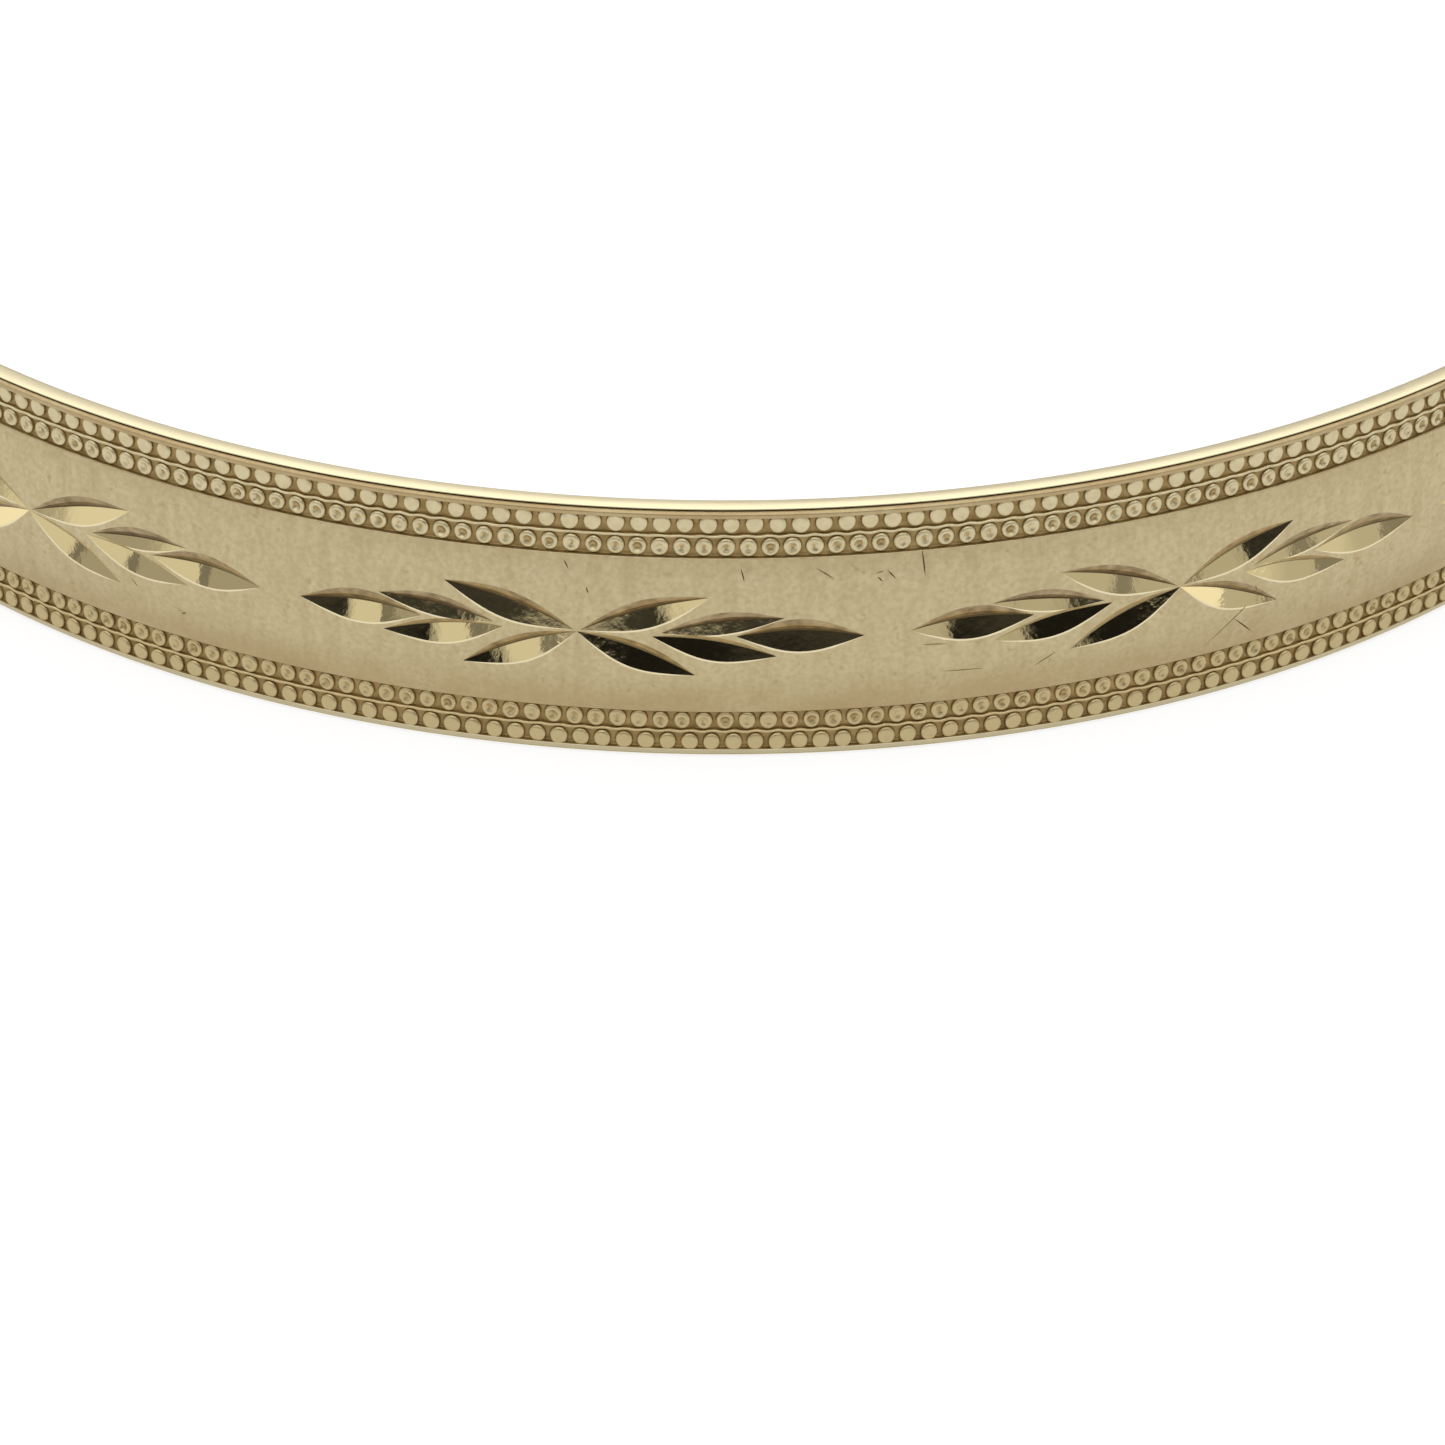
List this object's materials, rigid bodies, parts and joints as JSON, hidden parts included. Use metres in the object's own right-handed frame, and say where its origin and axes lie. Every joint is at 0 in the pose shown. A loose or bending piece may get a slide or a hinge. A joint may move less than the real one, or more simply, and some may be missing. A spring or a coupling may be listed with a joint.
{
  "type": "hinged bangle bracelet",
  "caption": "Round hollow gold bangle that opens on a side hinge, with beaded borders, bright-cut leaf sprays, a tongue clasp and a figure-eight safety catch.",
  "frame": {"origin": "centre of the ring, on the plane of the lower rim", "axes": "+Z along the ring's axis, up from the lower rim; the front faces -Y; hinge at -X, clasp at +X"},
  "size_m": [0.0655, 0.064, 0.0091],
  "materials": {
    "satin_gold": "brushed satin yellow gold, with beaded borders and mirror bright-cut leaves",
    "polished_gold": "high polish yellow gold",
    "inner_gold": "polished yellow gold, left as finished on the bench",
    "spring_gold": "work-hardened yellow gold, lightly brushed"
  },
  "bodies": {
    "front_half": {"front_outer_strip": "satin_gold", "front_inner_shell": "polished_gold", "front_hinge_block": "inner_gold", "front_clasp_plate": "inner_gold", "front_knuckle_lower": "polished_gold", "front_knuckle_middle": "polished_gold", "front_knuckle_upper": "polished_gold", "hinge_pin": "polished_gold", "safety_ball_peg": "polished_gold"},
    "back_half": {"back_outer_strip": "satin_gold", "back_inner_shell": "polished_gold", "back_hinge_block": "inner_gold", "back_clasp_plate": "inner_gold", "back_knuckle_lower": "polished_gold", "back_knuckle_upper": "polished_gold", "tongue_blade": "spring_gold", "safety_hinge_tube": "polished_gold"},
    "spring_leaf": {"tongue_spring_leaf": "spring_gold", "thumb_tab": "polished_gold"},
    "figure_eight": {"figure_eight_wire": "polished_gold"}
  },
  "joints": [
    {"name": "main_hinge", "type": "hinge", "parent": "front_half", "child": "back_half", "pos_m": [-0.032, 0, 0.00385], "axis": [0, 0, 1], "range_deg": [0, 65]},
    {"name": "tongue_press", "type": "hinge", "parent": "back_half", "child": "spring_leaf", "pos_m": [0.03058, -0.0049, 0.00385], "axis": [0, 0, 1], "range_deg": [0, 3.2], "stiffness_Nm_per_rad": 0.25},
    {"name": "safety_swing", "type": "hinge", "parent": "back_half", "child": "figure_eight", "pos_m": [0.03138, 0.0016, 0.00815], "axis": [1, 0, 0], "range_deg": [0, 180]}
  ]
}
